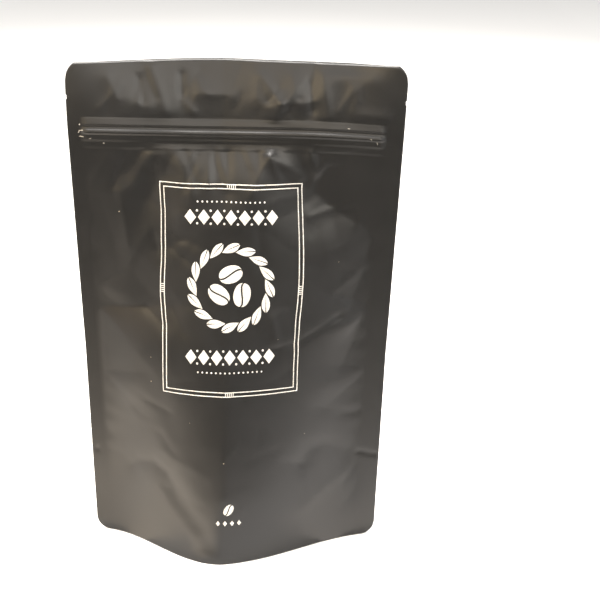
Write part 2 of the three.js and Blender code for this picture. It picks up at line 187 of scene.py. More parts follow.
# The gusset's fold marks both seams
GUSSET_MARKS = [(((62, 46.6), (68, 45.6), (75, 44.8)), 1.0, 1.4, 0.55, 0.3),
                (((-75, 45.2), (-70, 45.6)), 1.0, 1.2, 0.35, 0.3)]
# The films bend away from the weld over about this, low down and further up
SEAM_SOFTNESS_LOW, SEAM_SOFTNESS_HIGH, SEAM_SOFTNESS_ZONE = 10.0, 4.0, (70, 150)
# Dents grow to full over these: in from a weld in u, up from the base, and down from the zip
LOOSE_FROM_WELD, LOOSE_FROM_BASE, LOOSE_TO_ZIP = (0, 0.05), (1, 8), (199, 203)
# Short ripples run in from each seam, where the film is gathered
RIPPLE_SEEDS = {-1: 19, 1: 21}
RIPPLES, RIPPLE_LENGTHS, RIPPLE_REACH = 7, (7, 30), 3
RIPPLE_DEPTH, RIPPLE_SHARES = 0.06, (0.3, 1)
RIPPLES_FROM_BASE, RIPPLES_TO_ZIP = (20, 60), (185, 200)


def smooth(value, start, end):
    """0 up to start, and 1 from end on."""
    t = np.clip((value - start) / (end - start), 0, 1)
    return t * t * (3 - 2 * t)


def fade(value, start, end):
    """1 up to start, and 0 from end on."""
    return smooth(-value, -end, -start)


def mix(a, b, share):
    return a + (b - a) * share


def through(pairs, at):
    """A smooth curve through the pairs of place and value, flat beyond both ends."""
    places, values = np.array(pairs, float).T
    rises = np.empty(len(pairs))
    rises[1:-1] = (values[2:] - values[:-2]) / (places[2:] - places[:-2])
    rises[0] = (values[1] - values[0]) / (places[1] - places[0])
    rises[-1] = (values[-1] - values[-2]) / (places[-1] - places[-2])
    at = np.clip(at, places[0], places[-1])
    i = np.clip(np.searchsorted(places, at) - 1, 0, len(pairs) - 2)
    span = places[i + 1] - places[i]
    t = (at - places[i]) / span
    bend = span * t * (1 - t) * ((1 - t) * rises[i] - t * rises[i + 1])
    return mix(values[i], values[i + 1], t * t * (3 - 2 * t)) + bend


def half_width(z):
    return BASE_HALF_WIDTH + FLARE_LOW * z + FLARE_HIGH * np.maximum(0, z - FLARE_HIGH_FROM)


MID_HALF_WIDTH = half_width(FILM_HEIGHT / 2)
TOP_HALF_WIDTH = half_width(FILM_HEIGHT - TOP_CORNER_DROP)
TOP_CORNER_RADIUS = (TOP_CORNER_RUN ** 2 + TOP_CORNER_DROP ** 2) / (2 * TOP_CORNER_RUN)
CREST_U = CREST_X / MID_HALF_WIDTH
LEFT_SEAM_U = -1 + LEFT_SEAM / MID_HALF_WIDTH
RIGHT_SEAM_U = 1 - RIGHT_SEAM / MID_HALF_WIDTH


def from_crest(u, left_edge, right_edge):
    """0 at the crest and 1 at the given edge on either side. u runs from -1 to 1 across."""
    edge = np.where(u < CREST_U, left_edge, right_edge)
    return np.clip((u - CREST_U) / (edge - CREST_U), 0, 1)


def round_off(t):
    return np.cos(np.pi * t / 2) ** 2


def bow(u):
    """How far the cut edges and the films' middle have risen to their crest, from 0 to 1."""
    t = from_crest(u, -1, 1)
    return np.where(u < CREST_U, round_off(t), (1 - t) ** CREST_TO_RIGHT)


def fullness(u, z):
    """The films' distance as a share of that at the crest: the base's curve, and higher up the
    section of the filled pouch between its welds."""
    t = from_crest(u, -1, 1)
    base = np.where(u < CREST_U, round_off(t), mix(round_off(t), 1 - t, STRAIGHT_TO_RIGHT))
    s = from_crest(u, LEFT_SEAM_U, RIGHT_SEAM_U)
    over_fill = smooth(z, FILL_LEVEL - FILL_BLEND, FILL_LEVEL + FILL_BLEND)
    section = mix(round_off(s), 1 - s * s, mix(ARCHED_LOW, ARCHED_HIGH, over_fill))
    reach = np.where(u < CREST_U, CREST_U - LEFT_SEAM_U, RIGHT_SEAM_U - CREST_U) * MID_HALF_WIDTH
    softness = mix(SEAM_SOFTNESS_LOW, SEAM_SOFTNESS_HIGH, smooth(z, *SEAM_SOFTNESS_ZONE))
    body = section * (1 - np.exp((s - 1) * reach / softness))
    return mix(base, body, smooth(z, 0, GUSSET_FOLD_HEIGHT))


def height_at(u, level):
    """The height of a point of the row called level, which bends with the cut edges."""
    run = np.maximum(0, np.abs(u) * BASE_HALF_WIDTH - (BASE_HALF_WIDTH - BASE_CORNER_RADIUS))
    bottom = BASE_CORNER_RADIUS - np.sqrt(np.maximum(0, BASE_CORNER_RADIUS ** 2 - run ** 2))
    run = np.abs(u) * TOP_HALF_WIDTH - (TOP_HALF_WIDTH - TOP_CORNER_RUN)
    along = TOP_CORNER_RADIUS - TOP_CORNER_RUN + run
    arc = np.sqrt(np.maximum(0, TOP_CORNER_RADIUS ** 2 - along ** 2)) - TOP_CORNER_DROP
    top = FILM_HEIGHT + CUT_SKEW * u + np.where(run <= 0, CREST_RISE * bow(u), arc)
    foot = mix(bottom, FOOT_ZONE, level / FOOT_ZONE)
    head = mix(HEAD_ZONE, top, (level - HEAD_ZONE) / (FILM_HEIGHT - HEAD_ZONE))
    low, sags_from, sags_to, high = ZIP_SAG_ZONE
    sagged = level - ZIP_SAG * bow(u) * smooth(level, low, sags_from) * fade(level, sags_to, high)
    return np.where(level < FOOT_ZONE, foot, np.where(level > HEAD_ZONE, head, sagged))


def sideways(u, z):
    on_cut_edge = np.abs(u) > 0.9999
    notch = np.maximum(0, 1 - np.abs(z - NOTCH_HEIGHT) / NOTCH_HALF_GAP) * on_cut_edge
    return u * half_width(z) - np.sign(u) * notch * NOTCH_DEPTH


def crease_depth(crease, x, z):
    points, left_flank, right_flank, depth, radius = crease
    gap, offside = np.full(np.shape(x), np.inf), np.zeros(np.shape(x))
    for (x1, z1), (x2, z2) in zip(points, points[1:]):
        length = math.hypot(x2 - x1, z2 - z1)
        along = np.clip(((x - x1) * (x2 - x1) + (z - z1) * (z2 - z1)) / length ** 2, 0, 1)
        away = np.hypot(x - x1 - along * (x2 - x1), z - z1 - along * (z2 - z1))
        side = ((z - z1) * (x2 - x1) - (x - x1) * (z2 - z1)) / length / np.maximum(away, 0.01)
        offside = np.where(away < gap, side, offside)
        gap = np.minimum(away, gap)
    flank = mix(right_flank, left_flank, smooth(offside, -1, 1))
    return depth * np.exp(-(np.hypot(gap, radius) - radius) / (FLANK_FALL * flank))


def pucker_rise(pucker, x, z):
    tip_x, tip_z, ridge, above, below, rise, reach = pucker
    away = np.hypot(x - tip_x, z - tip_z)
    turn = np.degrees(np.arctan2(z - tip_z, x - tip_x)) - ridge
    turn = (turn + 180) % 360 - 180
    share = np.clip(1 - np.where(turn * above > 0, turn / above, turn / below), 0, 1)
    rounded = share * (1 + PUCKER_ROUNDNESS - PUCKER_ROUNDNESS * share)
    from_tip = np.hypot(away, PUCKER_TIP) - PUCKER_TIP
    return rise * from_tip * rounded * np.exp(-(away / reach) ** 2)


def hollow_depth(hollow, x, z):
    middle_x, middle_z, reach_x, above, below, depth = hollow
    reach_z = np.where(z > middle_z, above, below)
    return depth * np.exp(-((x - middle_x) / reach_x) ** 2 - ((z - middle_z) / reach_z) ** 2)


def profile(pairs, at):
    """Straight lines through the pairs of place and value."""
    places, values = np.array(pairs).T
    return np.interp(at, places, values)


def inside_welds(u):
    """How far u is inside the nearer weld, negative in it."""
    return np.minimum(u - LEFT_SEAM_U, RIGHT_SEAM_U - u)


def zip_relief(u, level, x):
    (left_end, right_end), (left_run, right_run) = ZIP_ENDS, ZIP_END_RUNS
    ends = smooth(x, left_end, left_end + left_run) * fade(x, right_end - right_run, right_end)
    over_rib = level - ZIP_HEIGHT + through(ZIP_DROOP, x)
    short, long = ZIP_UNEVEN_OVER
    firmness = ZIP_FIRMNESS + ZIP_UNEVENNESS * np.sin(x / short + 1) * np.sin(x / long)
    relief = profile(ZIP_RIB, over_rib) + firmness * profile(ZIP_FLANGES, over_rib)
    return ends * mix(ZIP_OVER_SEAM, 1, smooth(inside_welds(u), *ZIP_SEAM_ZONE)) * relief


def crinkles(seed, count, heights=(15, 198), angles=(0, 180), lengths=(6, 26), depths=(0.04, 0.22),
             widths=(-64, 60), flanks=(1.5, 5), radius=0.8):
    """Small shallow creases of handling, at random places and angles, in degrees from level."""
    rng = random.Random(seed)
    made = []
    for _ in range(count):
        x, z = rng.uniform(*widths), rng.uniform(*heights)
        angle, length = math.radians(rng.uniform(*angles)), rng.uniform(*lengths)
        flank, depth = rng.uniform(*flanks), rng.choice((-1, 1)) * rng.uniform(*depths)
        end = (x + length * math.cos(angle), z + length * math.sin(angle))
        made.append((((x, z), end), flank, flank, depth, radius))
    return made


def seam_ripples(seed, u, z):
    rng = random.Random(seed)
    total = 0
    for edge, way in ((LEFT_SEAM_U, 1), (RIGHT_SEAM_U, -1)):
        inward = np.maximum(0, (u - edge) * way) * MID_HALF_WIDTH / RIPPLE_REACH
        ripple = 0
        for _ in range(RIPPLES):
            wavelength, phase = rng.uniform(*RIPPLE_LENGTHS), rng.uniform(0, 2 * math.pi)
            wave = np.sin(2 * math.pi * z / wavelength + phase)
            ripple = ripple + wave * rng.uniform(*RIPPLE_SHARES)
        total = total + RIPPLE_DEPTH * ripple * inward * np.exp(1 - inward)
    return total * smooth(z, *RIPPLES_FROM_BASE) * fade(z, *RIPPLES_TO_ZIP)


# The slack upper half is crinkled most. Folds hang from the zip, and stand over it in the header.
ALL_OVER = {"count": 90}
SLACK = {"count": 34, "heights": (100, 196), "lengths": (10, 26), "depths": (0.25, 0.6)}
HANGING = {"count": 22, "heights": (196, 200), "angles": (-125, -55), "lengths": (8, 22),
           "depths": (0.2, 0.6)}
STANDING = {"count": 30, "heights": (213, 226), "angles": (45, 135), "lengths": (6, 16),
            "depths": (0.2, 0.7)}


def handling(seeds):
    """The crinkles of one panel."""
    kinds = (ALL_OVER, SLACK, HANGING)
    return [crease for seed, kind in zip(seeds, kinds) for crease in crinkles(seed, **kind)]


CREASES = {-1: FRONT_CREASES + handling((4, 7, 12)), 1: BACK_CREASES + handling((9, 8, 15))}
HEADER_FOLDS = HEADER_WAVES + crinkles(21, **STANDING)
PUCKERS = {-1: FRONT_PUCKERS, 1: BACK_PUCKERS}
HOLLOWS = {-1: FRONT_HOLLOWS, 1: BACK_HOLLOWS}


def all_of(depth_of, features, x, z):
    return sum(depth_of(feature, x, z) for feature in features)


def film_grid(side, us, levels):
    """Points of the outer face of the front (side -1) or back (side 1) panel."""
    u, level = np.meshgrid(us, levels, indexing="ij")
    z = height_at(u, level)
    x = sideways(u, z)
    loose = smooth(inside_welds(u), *LOOSE_FROM_WELD) * smooth(z, *LOOSE_FROM_BASE) * fade(z, *LOOSE_TO_ZIP)
    dents = all_of(crease_depth, CREASES[side], x, z) + all_of(hollow_depth, HOLLOWS[side], x, z)
    dents = dents + seam_ripples(RIPPLE_SEEDS[side], u, z) - all_of(pucker_rise, PUCKERS[side], x, z)
    body = through(HALF_DEPTH, z) * fullness(u, z) - dents * loose
    half = FILM + LAMINATE_GAP / 2 + zip_relief(u, level, x) + np.maximum(0, body)
    wave = all_of(crease_depth, HEADER_FOLDS, x, z) * smooth(z, *HEADER_ZONE)
    wave = wave + all_of(crease_depth, GUSSET_MARKS, x, z)
    from_edge = 1 - np.abs(u)
    wave_fade = mix(WAVE_FADE_LOW, WAVE_FADE_HIGH, smooth(z, *WAVE_FADE_ZONE))
    up_header = np.maximum(0, z - HEADER_CURL_FROM) / (FILM_HEIGHT - HEADER_CURL_FROM)
    curl_at_edge = np.where(u < CREST_U, CURL_AT_LEFT, CURL_AT_RIGHT)
    curl = HEADER_CURL * up_header ** HEADER_CURL_POWER
    curl = curl * mix(curl_at_edge, 1, smooth(from_edge, 0, CURL_FADE))
    middle = through(STANDS_BACK, z) * bow(u) + wave * smooth(from_edge, 0, wave_fade) + curl
    return np.stack([x, middle + side * half, z], axis=-1) * MM


def panel_columns():
    """Places across the film: every half millimetre by the cut edges, and wider between."""
    edge_width, edge_columns, wide_columns = 6, 13, 117
    edge = edge_width / MID_HALF_WIDTH
    fine = np.linspace(0, edge, edge_columns)
    wide = np.linspace(-1 + edge, 1 - edge, wide_columns)
    return np.concatenate([-1 + fine[:-1], wide, (1 - fine[::-1])[1:]])


def panel_levels():
    """Rows up the film, closest at the zip and at the notches. Runs: low, high, number of rows."""
    runs = ((0, 12, 15), (12, 198, 146), (198, 217, 72), (217, 222, 5), (222, 226, 10), (226, 240, 12))
    parts = [np.linspace(low, high, count, endpoint=False) for low, high, count in runs]
    return np.concatenate(parts + [np.array([FILM_HEIGHT])])


def linear(hex_colour):
    """The linear colour, with alpha, of an sRGB hex value."""
    channels = [int(hex_colour[i:i + 2], 16) / 255 for i in (1, 3, 5)]
    return [c / 12.92 if c <= 0.04045 else ((c + 0.055) / 1.055) ** 2.4 for c in channels] + [1]


def add(tree, kind, settings=None, **links):
    """A node of a tree. Settings are its properties, links its inputs by name: a value or a socket."""
    node = tree.nodes.new(kind)
    for name, value in (settings or {}).items():
        setattr(node, name, value)
    for name, value in links.items():
        key = int(name[1:]) if name[0] == "_" and name[1:].isdigit() else name.replace("_", " ")
        socket = node.inputs[key]
        if isinstance(value, bpy.types.NodeSocket):
            tree.links.new(value, socket)
        else:
            socket.default_value = value
    return node


def new_material(name):
    material = bpy.data.materials.new(name)
    material.use_nodes = True
    material.node_tree.nodes.clear()
    return material, material.node_tree


def finish_material(tree, shader):
    add(tree, "ShaderNodeOutputMaterial", Surface=shader.outputs[0])


def matte_laminate():
    # Matte biaxially oriented polypropylene over black gravure ink: a soft, broad shine with the
    # faint orange peel of the laminating roller, and smudges where it was handled
    material, tree = new_material("matte_black_laminate")
    place = add(tree, "ShaderNodeTexCoord").outputs["Object"]
    peel = add(tree, "ShaderNodeTexNoise", Vector=place, Scale=1 / (0.8 * MM), Detail=3.0)
    smudge = add(tree, "ShaderNodeTexNoise", Vector=place, Scale=1 / (22 * MM), Detail=4.0, Roughness=0.6)
    rough = add(tree, "ShaderNodeMapRange", Value=smudge.outputs["Fac"], From_Min=0.3, From_Max=0.7,
                To_Min=0.34, To_Max=0.40)
    tint = add(tree, "ShaderNodeMix", {"data_type": "RGBA"}, Factor=smudge.outputs["Fac"],
               _6=linear("#1c1c1b"), _7=linear("#212020"))
    bump = add(tree, "ShaderNodeBump", Strength=0.08, Distance=0.05 * MM, Height=peel.outputs["Fac"])
    film = add(tree, "ShaderNodeBsdfPrincipled", Base_Color=tint.outputs[2],
               Roughness=rough.outputs["Result"], Normal=bump.outputs["Normal"], IOR=1.5)
    finish_material(tree, film)
    return material


def cut_foil():
    # The guillotined edge of the laminate, where the aluminium layer shows as a thin silver line
    material, tree = new_material("cut_laminate_edge")
    place = add(tree, "ShaderNodeTexCoord").outputs["Object"]
    drag = add(tree, "ShaderNodeTexNoise", Vector=place, Scale=1 / (3 * MM), Detail=2.0)
    tint = add(tree, "ShaderNodeMix", {"data_type": "RGBA"}, Factor=drag.outputs["Fac"],
               _6=linear("#77746e"), _7=linear("#a5a29b"))
    edge = add(tree, "ShaderNodeBsdfPrincipled", Base_Color=tint.outputs[2], Metallic=0.4, Roughness=0.45)
    finish_material(tree, edge)
    return material


LAMINATE = matte_laminate()
CUT_EDGE = cut_foil()


def grid_mesh(name, points, flip):
    """A mesh through a grid of points, its faces turned over where flip is true."""
    across, up = points.shape[:2]
    mesh = bpy.data.meshes.new(name)
    index = np.arange(across * up).reshape(across, up)
    quads = np.stack([index[:-1, :-1], index[1:, :-1], index[1:, 1:], index[:-1, 1:]], axis=-1)
    if flip:
        quads = quads[..., ::-1]
    mesh.from_pydata(points.reshape(-1, 3).tolist(), [], quads.reshape(-1, 4).tolist())
    mesh.shade_smooth()
    return mesh


def thicken(piece, millimetres):
    """Give a sheet its thickness, behind its outer face."""
    wall = piece.modifiers.new("thickness", "SOLIDIFY")
    wall.thickness = millimetres * MM
    wall.offset = -1
    return wall


def sheet_of_film(name, points, flip):
    """A sheet of the laminate, with cut edges all round."""
    piece = new_object(name, grid_mesh(name, points, flip))
    for material in (LAMINATE, CUT_EDGE):
        piece.data.materials.append(material)
    thicken(piece, FILM).material_offset_rim = 1
    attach(piece, "root")
    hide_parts("pouch")


COLUMNS, LEVELS = panel_columns(), panel_levels()
FRONT = film_grid(-1, COLUMNS, LEVELS)
BACK = film_grid(1, COLUMNS, LEVELS)
sheet_of_film("front_panel", FRONT, False)
sheet_of_film("back_panel", BACK, True)

# ---- The gusset ---------------------------------------------------------------------------------
# A third film, glossy black, folded in along the middle of the base and welded to the inside of
# both panels by a rounded bottom seal. The pouch stands on the rim of that seal, and the coffee
# presses the film between down almost to the table.
RIM_HEIGHT = 3.2
RIM_ROUND = 1.2                     # the film turns from upright to level over this
GUSSET_BELLY = 1.2                  # height of the film's lowest part over the table
GUSSET_FOLD = 3.6                   # height of the fold line left along its middle
GUSSET_CORNER_FOLD = 30             # and it rises to this towards the seams, between the panels
RECESS_STARTS = (4, 14)             # half depths of the base between which the hollow grows to full
GUSSET_FILM = 0.1
SEAL_AT_MIDDLE, SEAL_AT_CORNER = 6.5, 30
GUSSET_END = 0.96                   # past this u the two panels lie on each other
SMALLEST_GAP = 0.01                 # left between the gusset and a panel, or between its halves
DENTS_FROM_SEAL = 3                 # the dents grow to full over this, in from the seal
DENTS_LOWEST = 0.3                  # and stay this far over the table
# Dents and folds where the filling pushed the film about: x and y take the place of x and height
GUSSET_CREASES = [
    (((-8, -3), (-2, 9), (6, 24)), 3, 3, 0.5, 0.9),
    (((-10, 4), (-16, 27)), 4, 4, -0.4, 1.5),
    (((10, -6), (16, -26)), 4, 4, -0.4, 1.5),
    (((3, 0), (15, 3)), 2.5, 2.5, 0.4, 0.8),
]
PUSHED_ABOUT = {"count": 40, "heights": (-20, 20), "lengths": (5, 20), "depths": (0.05, 0.25),
                "widths": (-52, 50), "flanks": (1.5, 4)}


def gusset_profile():
    """Steps from the table up the panel and across to the fold: inset, share of the way across,
    share of the rim's height, share of the whole way."""
    skirt = [(0.0, 0.0, rise) for rise in (0.02, 0.3, 1 - RIM_ROUND / RIM_HEIGHT)]
    turn = [(RIM_ROUND * (1 - math.cos(a)), 0.0, 1 - RIM_ROUND / RIM_HEIGHT * (1 - math.sin(a)))
            for a in np.linspace(0, math.pi / 2, 5)[1:]]
    level = [(RIM_ROUND, place, 1.0) for place in np.linspace(0, 1, 26)[1:]]
    steps = skirt + turn + level
    return [(*step, i / (len(steps) - 1)) for i, step in enumerate(steps)]


def gusset_grid():
    """Points of the gusset's outer (lower) face, and how far each is inside the seal in mm."""
    picked = np.abs(COLUMNS) <= GUSSET_END
    front, back = FRONT[picked] / MM, BACK[picked] / MM
    edge_z = front[:, 0, 2]
    middle = (front[:, 0, 1] + back[:, 0, 1]) / 2
    room = (back[..., 1] - front[..., 1]) / 2 - FILM - GUSSET_FILM
    half = np.maximum(room[:, 0], 2 * SMALLEST_GAP)
    recess = smooth(half, *RECESS_STARTS)
    across = np.abs(front[:, 0, 0]) / BASE_HALF_WIDTH
    halves = []
    for way in (-1, 1):
        rows, seals = [], []
        for inset, place, rise, whole in gusset_profile():
            belly = math.sin(math.pi * (1 - place)) ** 2 if place else 0
            level = mix(mix(RIM_HEIGHT * rise, GUSSET_FOLD, place ** 3), GUSSET_BELLY, belly)
            rising = GUSSET_CORNER_FOLD * across * math.sin(math.pi / 2 * whole)
            z = edge_z + mix(rising, level, recess)
            level_y, rising_y = (half - inset) * (1 - place), half * math.sqrt(1 - whole ** 3)
            y = mix(rising_y, level_y, recess)
            free = np.array([np.interp(z[i], front[i, :, 2], room[i]) for i in range(len(z))])
            y = np.minimum(y, np.maximum(free, SMALLEST_GAP) * (1 if whole < 1 else 0))
            rows.append(np.stack([front[:, 0, 0], middle + way * y, z], axis=-1))
            from_rim = mix(rising, RIM_HEIGHT * rise + half - level_y, recess)
            seals.append(SEAL_AT_MIDDLE + (SEAL_AT_CORNER - SEAL_AT_MIDDLE) * across ** 4 - from_rim)
        halves.append((rows, seals))
    points = np.stack(halves[0][0] + halves[1][0][-2::-1], axis=1)
    seal = np.stack(halves[0][1] + halves[1][1][-2::-1], axis=1)
    inside = fade(seal, -DENTS_FROM_SEAL, 0) * recess[:, None]
    creases = GUSSET_CREASES + crinkles(31, **PUSHED_ABOUT)
    dents = all_of(crease_depth, creases, points[..., 0], points[..., 1])
    points[..., 2] = np.maximum(points[..., 2] + dents * inside, edge_z[:, None] + DENTS_LOWEST * inside)
    return points * MM, seal


def glossy_laminate():
    # Glossy polyester over black ink, as it comes from the web. The heated bars of the bottom seal
    # leave it duller and a little grey wherever they pressed, with a fine edge round that band.
    material, tree = new_material("glossy_black_laminate")
    place = add(tree, "ShaderNodeTexCoord").outputs["Object"]
    seal = add(tree, "ShaderNodeAttribute", {"attribute_name": "seal"}).outputs["Fac"]
    pressed = add(tree, "ShaderNodeMapRange", Value=seal, From_Min=-0.4, From_Max=0.4)
    from_edge = add(tree, "ShaderNodeMath", {"operation": "ABSOLUTE"}, _0=seal).outputs[0]
    edge = add(tree, "ShaderNodeMapRange", Value=from_edge, From_Min=0.9, From_Max=0.2)
    scuffs = add(tree, "ShaderNodeTexNoise", Vector=place, Scale=1 / (5 * MM), Detail=5.0, Roughness=0.65)
    tint = add(tree, "ShaderNodeMix", {"data_type": "RGBA"}, Factor=pressed.outputs["Result"],
               _6=linear("#101011"), _7=linear("#2a2a2c"))
    lined = add(tree, "ShaderNodeMix", {"data_type": "RGBA"}, Factor=edge.outputs["Result"],
                _6=tint.outputs[2], _7=linear("#4a4a4c"))
    plain = add(tree, "ShaderNodeMapRange", Value=scuffs.outputs["Fac"], From_Min=0.35, From_Max=0.7,
                To_Min=0.14, To_Max=0.26)
    rough = add(tree, "ShaderNodeMix", Factor=pressed.outputs["Result"], A=plain.outputs["Result"], B=0.42)
    film = add(tree, "ShaderNodeBsdfPrincipled", Base_Color=lined.outputs[2],
               Roughness=rough.outputs[0], IOR=1.5)
    finish_material(tree, film)
    return material


GUSSET, GUSSET_SEAL = gusset_grid()
gusset = new_object("gusset", grid_mesh("gusset", GUSSET, True))
gusset.data.materials.append(glossy_laminate())
gusset.data.attributes.new("seal", "FLOAT", "POINT").data.foreach_set("value", GUSSET_SEAL.ravel())
thicken(gusset, GUSSET_FILM)
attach(gusset, "root")
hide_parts("pouch")

# ---- The print ----------------------------------------------------------------------------------
# Warm white gravure ink on the front panel, laid down on the flat web before the pouch was made,
# so that its straight rules bend where the film bends: a double rule with ticks at the middle of
# each side, and inside it three coffee beans in a ring of leaves between two bands.
INK = 0.03
INK_PROUD = 0.07                    # its face over the film's
PRINT_CENTRE_X = -1.8
FRAME_HALF_WIDTH = 35
FRAME_LOW, FRAME_HIGH = 85.1, 185.4
RULE, RULE_PITCH = 0.47, 2.0
TICK, TICK_PITCH, TICKS = 0.38, 0.95, 5
SMALLEST_PATCH = 1.2                # the ink is cut this fine to follow the film
# What the small gathers of the film take up between the centre line and each side rule, by height
GATHER_LEFT = [(86, 1.6), (100, 1.9), (111, 1.95), (118, 1.65), (124, 0.9), (130, 0.4), (138, 0.6),
               (150, 1.05), (166, 1.0), (176, 0.5), (184, 0)]
GATHER_RIGHT = [(86, 1.0), (100, 1.3), (112, 1.3), (122, 1.0), (130, 0.4), (138, 0), (150, 0),
                (166, 0.45), (184, 0.9)]


def on_film(flat, proud):
    """Places on the front film for print coordinates: mm along the film from the print's centre
    line, and height."""
    shift, z = flat[:, 0], flat[:, 1]
    gather = np.where(shift < 0, through(GATHER_LEFT, z), through(GATHER_RIGHT, z))
    shift = shift * (1 - gather / FRAME_HALF_WIDTH)
    steps = np.hypot(np.diff(FRONT[..., 0], axis=0), np.diff(FRONT[..., 1], axis=0)) / MM
    along = np.vstack([np.zeros(len(LEVELS)), np.cumsum(steps, axis=0)])
    k = np.clip(np.searchsorted(LEVELS, z) - 1, 0, len(LEVELS) - 2)
    up = ((z - LEVELS[k]) / (LEVELS[k + 1] - LEVELS[k]))[:, None]
    u = np.zeros((2, len(z)))
    for row in np.unique(k):
        here = k == row
        for j in (0, 1):
            zero = np.interp(PRINT_CENTRE_X * MM, FRONT[:, row + j, 0], along[:, row + j])
            u[j, here] = np.interp(shift[here], along[:, row + j] - zero, COLUMNS)
    u = mix(u[0], u[1], up[:, 0])
    i = np.clip(np.searchsorted(COLUMNS, u) - 1, 0, len(COLUMNS) - 2)
    over = ((u - COLUMNS[i]) / (COLUMNS[i + 1] - COLUMNS[i]))[:, None]
    low_left, low_right = FRONT[i, k], FRONT[i + 1, k]
    high_left, high_right = FRONT[i, k + 1], FRONT[i + 1, k + 1]
    places = mix(mix(low_left, low_right, over), mix(high_left, high_right, over), up)
    outward = np.cross(mix(low_right - low_left, high_right - high_left, up),
                       mix(high_left - low_left, high_right - low_right, over))
    outward /= np.linalg.norm(outward, axis=1, keepdims=True)
    return places + outward * proud * MM


def flat_mesh(name, outlines):
    """A flat mesh, x across and y up in metres, from closed outlines in millimetres."""
    shape = bmesh.new()
    for outline in outlines:
        shape.faces.new([shape.verts.new((x * MM, y * MM, 0)) for x, y in outline])
    bmesh.ops.triangulate(shape, faces=shape.faces)
    mesh = bpy.data.meshes.new(name)
    shape.to_mesh(mesh)
    shape.free()
    return mesh


def bar(x1, y1, x2, y2):
    return [(x1, y1), (x2, y1), (x2, y2), (x1, y2)]


def hollow_frame(half_across, low, high, rule):
    """Four strips with mitred corners."""
    outer = bar(-half_across, low, half_across, high)
    inner = bar(-half_across + rule, low + rule, half_across - rule, high - rule)
    return [[outer[i], outer[(i + 1) % 4], inner[(i + 1) % 4], inner[i]] for i in range(4)]


def leaf_outline(length, width, gap):
    """A pointed leaf along y in two halves, parted by its midrib."""
    def half(t, half_across):
        return half_across + gap / 2 * (1 - t), length * (t - 0.5)
    places = np.linspace(0, 1, 13)
    right = [half(t, width / 2 * math.sin(math.pi * t ** 0.8)) for t in places]
    right += [half(t, 0) for t in places[-2:0:-1]]
    return [right, [(-x, y) for x, y in reversed(right)]]


def bean_outline(length, width, gap, swing):
    """A coffee bean along y: an oval parted by an S-shaped groove."""
    def groove(t):
        return swing * math.sin(2 * math.pi * t) + gap / 2

    def up(t):
        return -length / 2 * math.cos(math.pi * t)
    between = np.linspace(0, 1, 17)[1:-1]
    outer = [(max(width / 2 * math.sin(math.pi * t) ** 0.85, groove(t)), up(t)) for t in between]
    inner = [(groove(t), up(t)) for t in between[::-1]]
    half = [(gap / 2, up(0)), *outer, (gap / 2, up(1)), *inner]
    return [half, [(-x, -y) for x, y in half]]


def disc(radius, corners=12):
    turns = np.linspace(0, 2 * math.pi, corners + 1)[:-1]
    return [(radius * math.cos(turn), radius * math.sin(turn)) for turn in turns]


def lozenge(half_across, half_up):
    return [(half_across, 0), (0, half_up), (-half_across, 0), (0, -half_up)]


def white_ink():
    # Gravure ink: an opaque warm white, a shade uneven where the cells of the cylinder left less,
    # under the same matte film as the black
    material, tree = new_material("warm_white_gravure_ink")
    place = add(tree, "ShaderNodeTexCoord").outputs["Object"]
    cells = add(tree, "ShaderNodeTexNoise", Vector=place, Scale=1 / (0.7 * MM), Detail=2.0)
    thin = add(tree, "ShaderNodeMapRange", Value=cells.outputs["Fac"], From_Min=0.3, From_Max=0.6)
    tint = add(tree, "ShaderNodeMix", {"data_type": "RGBA"}, Factor=thin.outputs["Result"],
               _6=linear("#bdb9b0"), _7=linear("#e2dfd8"))
    ink = add(tree, "ShaderNodeBsdfPrincipled", Base_Color=tint.outputs[2], Roughness=0.5, IOR=1.5)
    finish_material(tree, ink)
    return material


WHITE_INK = white_ink()


